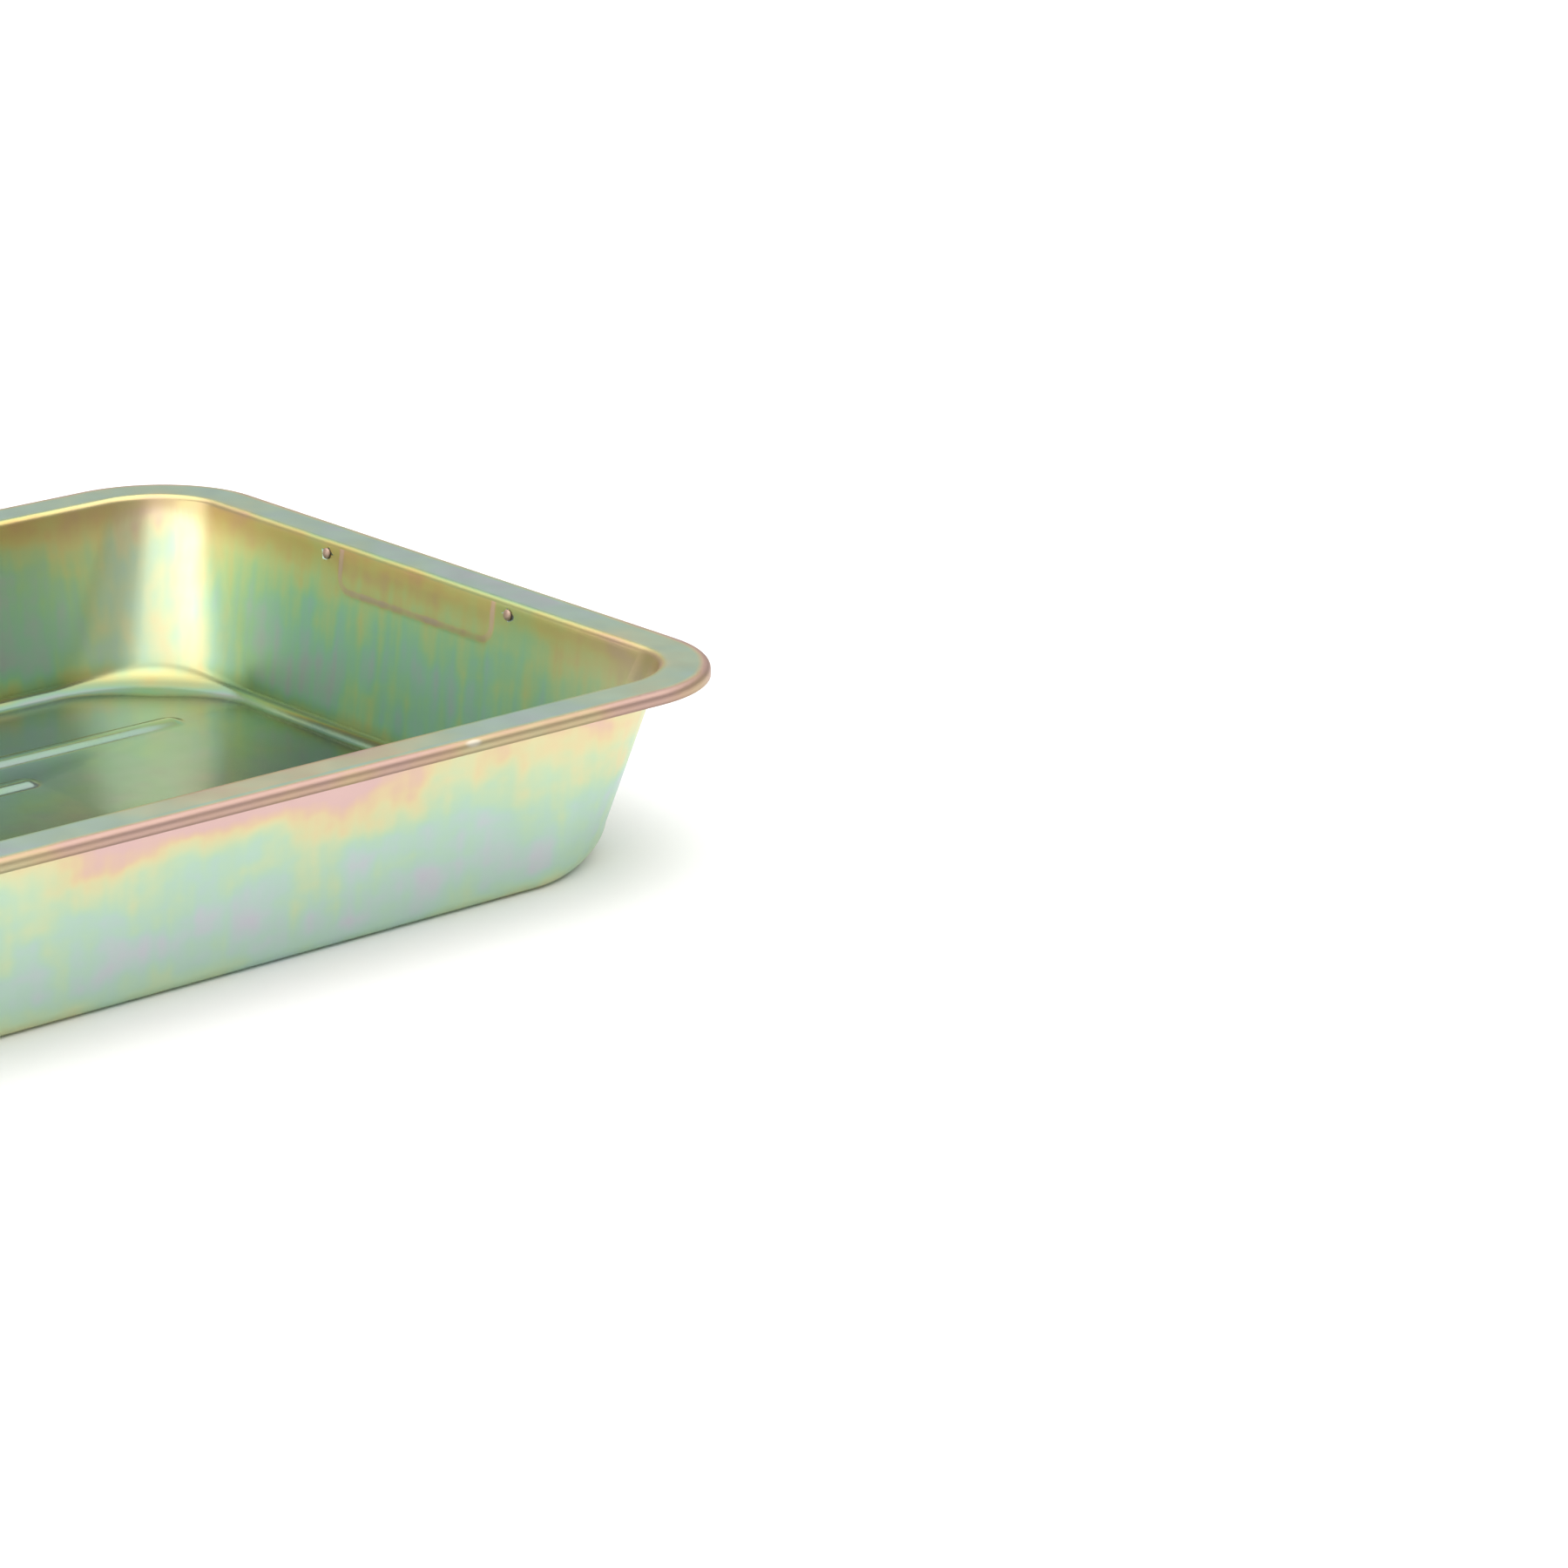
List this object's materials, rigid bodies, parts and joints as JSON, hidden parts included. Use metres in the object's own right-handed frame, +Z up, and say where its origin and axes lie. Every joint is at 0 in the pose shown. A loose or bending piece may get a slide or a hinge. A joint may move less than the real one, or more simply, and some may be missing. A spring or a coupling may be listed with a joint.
{
  "type": "paint roller tray",
  "caption": "Pressed steel paint roller tray with a flat beaded well, a ramp, a flanged rim and a wire hanging loop hinged on the deep end.",
  "frame": {"origin": "middle of the underside, on the surface the tray stands on, midway between the rim's ends and sides", "axes": "+X towards the deep end along the tray's length, +Y across the tray, +Z up"},
  "size_m": [0.41, 0.29, 0.059],
  "materials": {
    "yellow_zinc": "iridescent yellow zinc plating on pressed sheet",
    "plain_zinc": "zinc plated strip",
    "rivet_zinc": "zinc plated rivet head",
    "wire_zinc": "drawn zinc plated wire"
  },
  "bodies": {
    "tray": {"tray_pan": "yellow_zinc", "hinge_leaf": "plain_zinc", "rivet_left": "rivet_zinc", "rivet_right": "rivet_zinc"},
    "loop": {"hanging_loop": "wire_zinc"}
  },
  "joints": [
    {"name": "loop_swing", "type": "hinge", "parent": "tray", "child": "loop", "pos_m": [0.19211, 0, 0.04744], "axis": [0, -1, 0], "range_deg": [-7, 110]}
  ]
}
